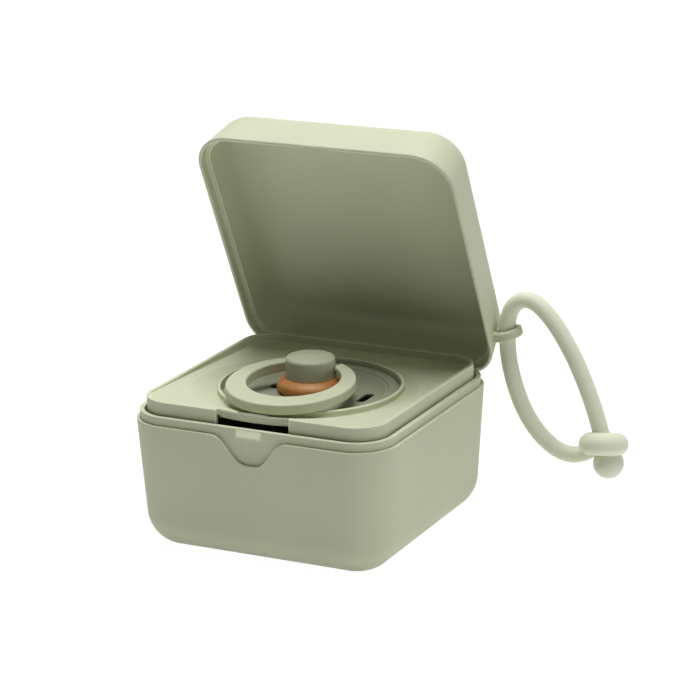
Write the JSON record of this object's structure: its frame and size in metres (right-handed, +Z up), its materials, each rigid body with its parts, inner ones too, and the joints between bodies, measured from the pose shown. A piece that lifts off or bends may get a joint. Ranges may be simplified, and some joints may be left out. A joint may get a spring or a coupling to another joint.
{
  "type": "pacifier case",
  "caption": "Square flip-lid travel case holding a pacifier in a lift-out tray, with a looped strap through an eye on the lid.",
  "frame": {"origin": "centre of the flat face under the case, on the surface it stands on", "axes": "+Z up, -Y towards the front with the thumb scoop, +X towards the side with the strap's eye; the lid stands open 64.5 degrees"},
  "size_m": [0.1055, 0.0808, 0.0998],
  "materials": {
    "shell": "satin",
    "liner": "satin",
    "tray": "satin",
    "lid": "satin",
    "pin": "brushed",
    "shield": "satin",
    "latex": "satin",
    "knob": "satin",
    "ring": "satin",
    "cord": "satin",
    "collar": "satin",
    "ball": "satin"
  },
  "bodies": {
    "case": {"outer_shell": "shell", "inner_container": "liner", "hinge_pin": "pin"},
    "lid": {"lid": "lid"},
    "tray": {"tray": "tray"},
    "pacifier": {"pacifier_shield": "shield", "pacifier_nipple": "latex", "pacifier_knob": "knob", "pacifier_plug": "knob"},
    "pacifier_ring": {"pacifier_ring": "ring"},
    "strap": {"strap_cord": "cord", "strap_collar": "collar", "strap_ball": "ball"}
  },
  "joints": [
    {"name": "lid_hinge", "type": "hinge", "parent": "case", "child": "lid", "pos_m": [0, 0.0346, 0.0334], "axis": [-1, 0, 0], "range_deg": [-64.5, 30]},
    {"name": "tray_lift", "type": "slide", "parent": "case", "child": "tray", "axis": [0, 0, 1], "range_m": [0, 0.022]},
    {"name": "pacifier_lift", "type": "slide", "parent": "tray", "child": "pacifier", "axis": [0, 0, 1], "range_m": [0, 0.029]},
    {"name": "ring_swing", "type": "hinge", "parent": "pacifier", "child": "pacifier_ring", "pos_m": [0, 0.0013, 0.04115], "axis": [-1, 0, 0], "range_deg": [0, 168]},
    {"name": "strap_swing", "type": "hinge", "parent": "lid", "child": "strap", "pos_m": [0.03755, 0.03557, 0.04483], "axis": [-0.2618, -0.0902, 0.9609], "range_deg": [-75, 75]}
  ]
}
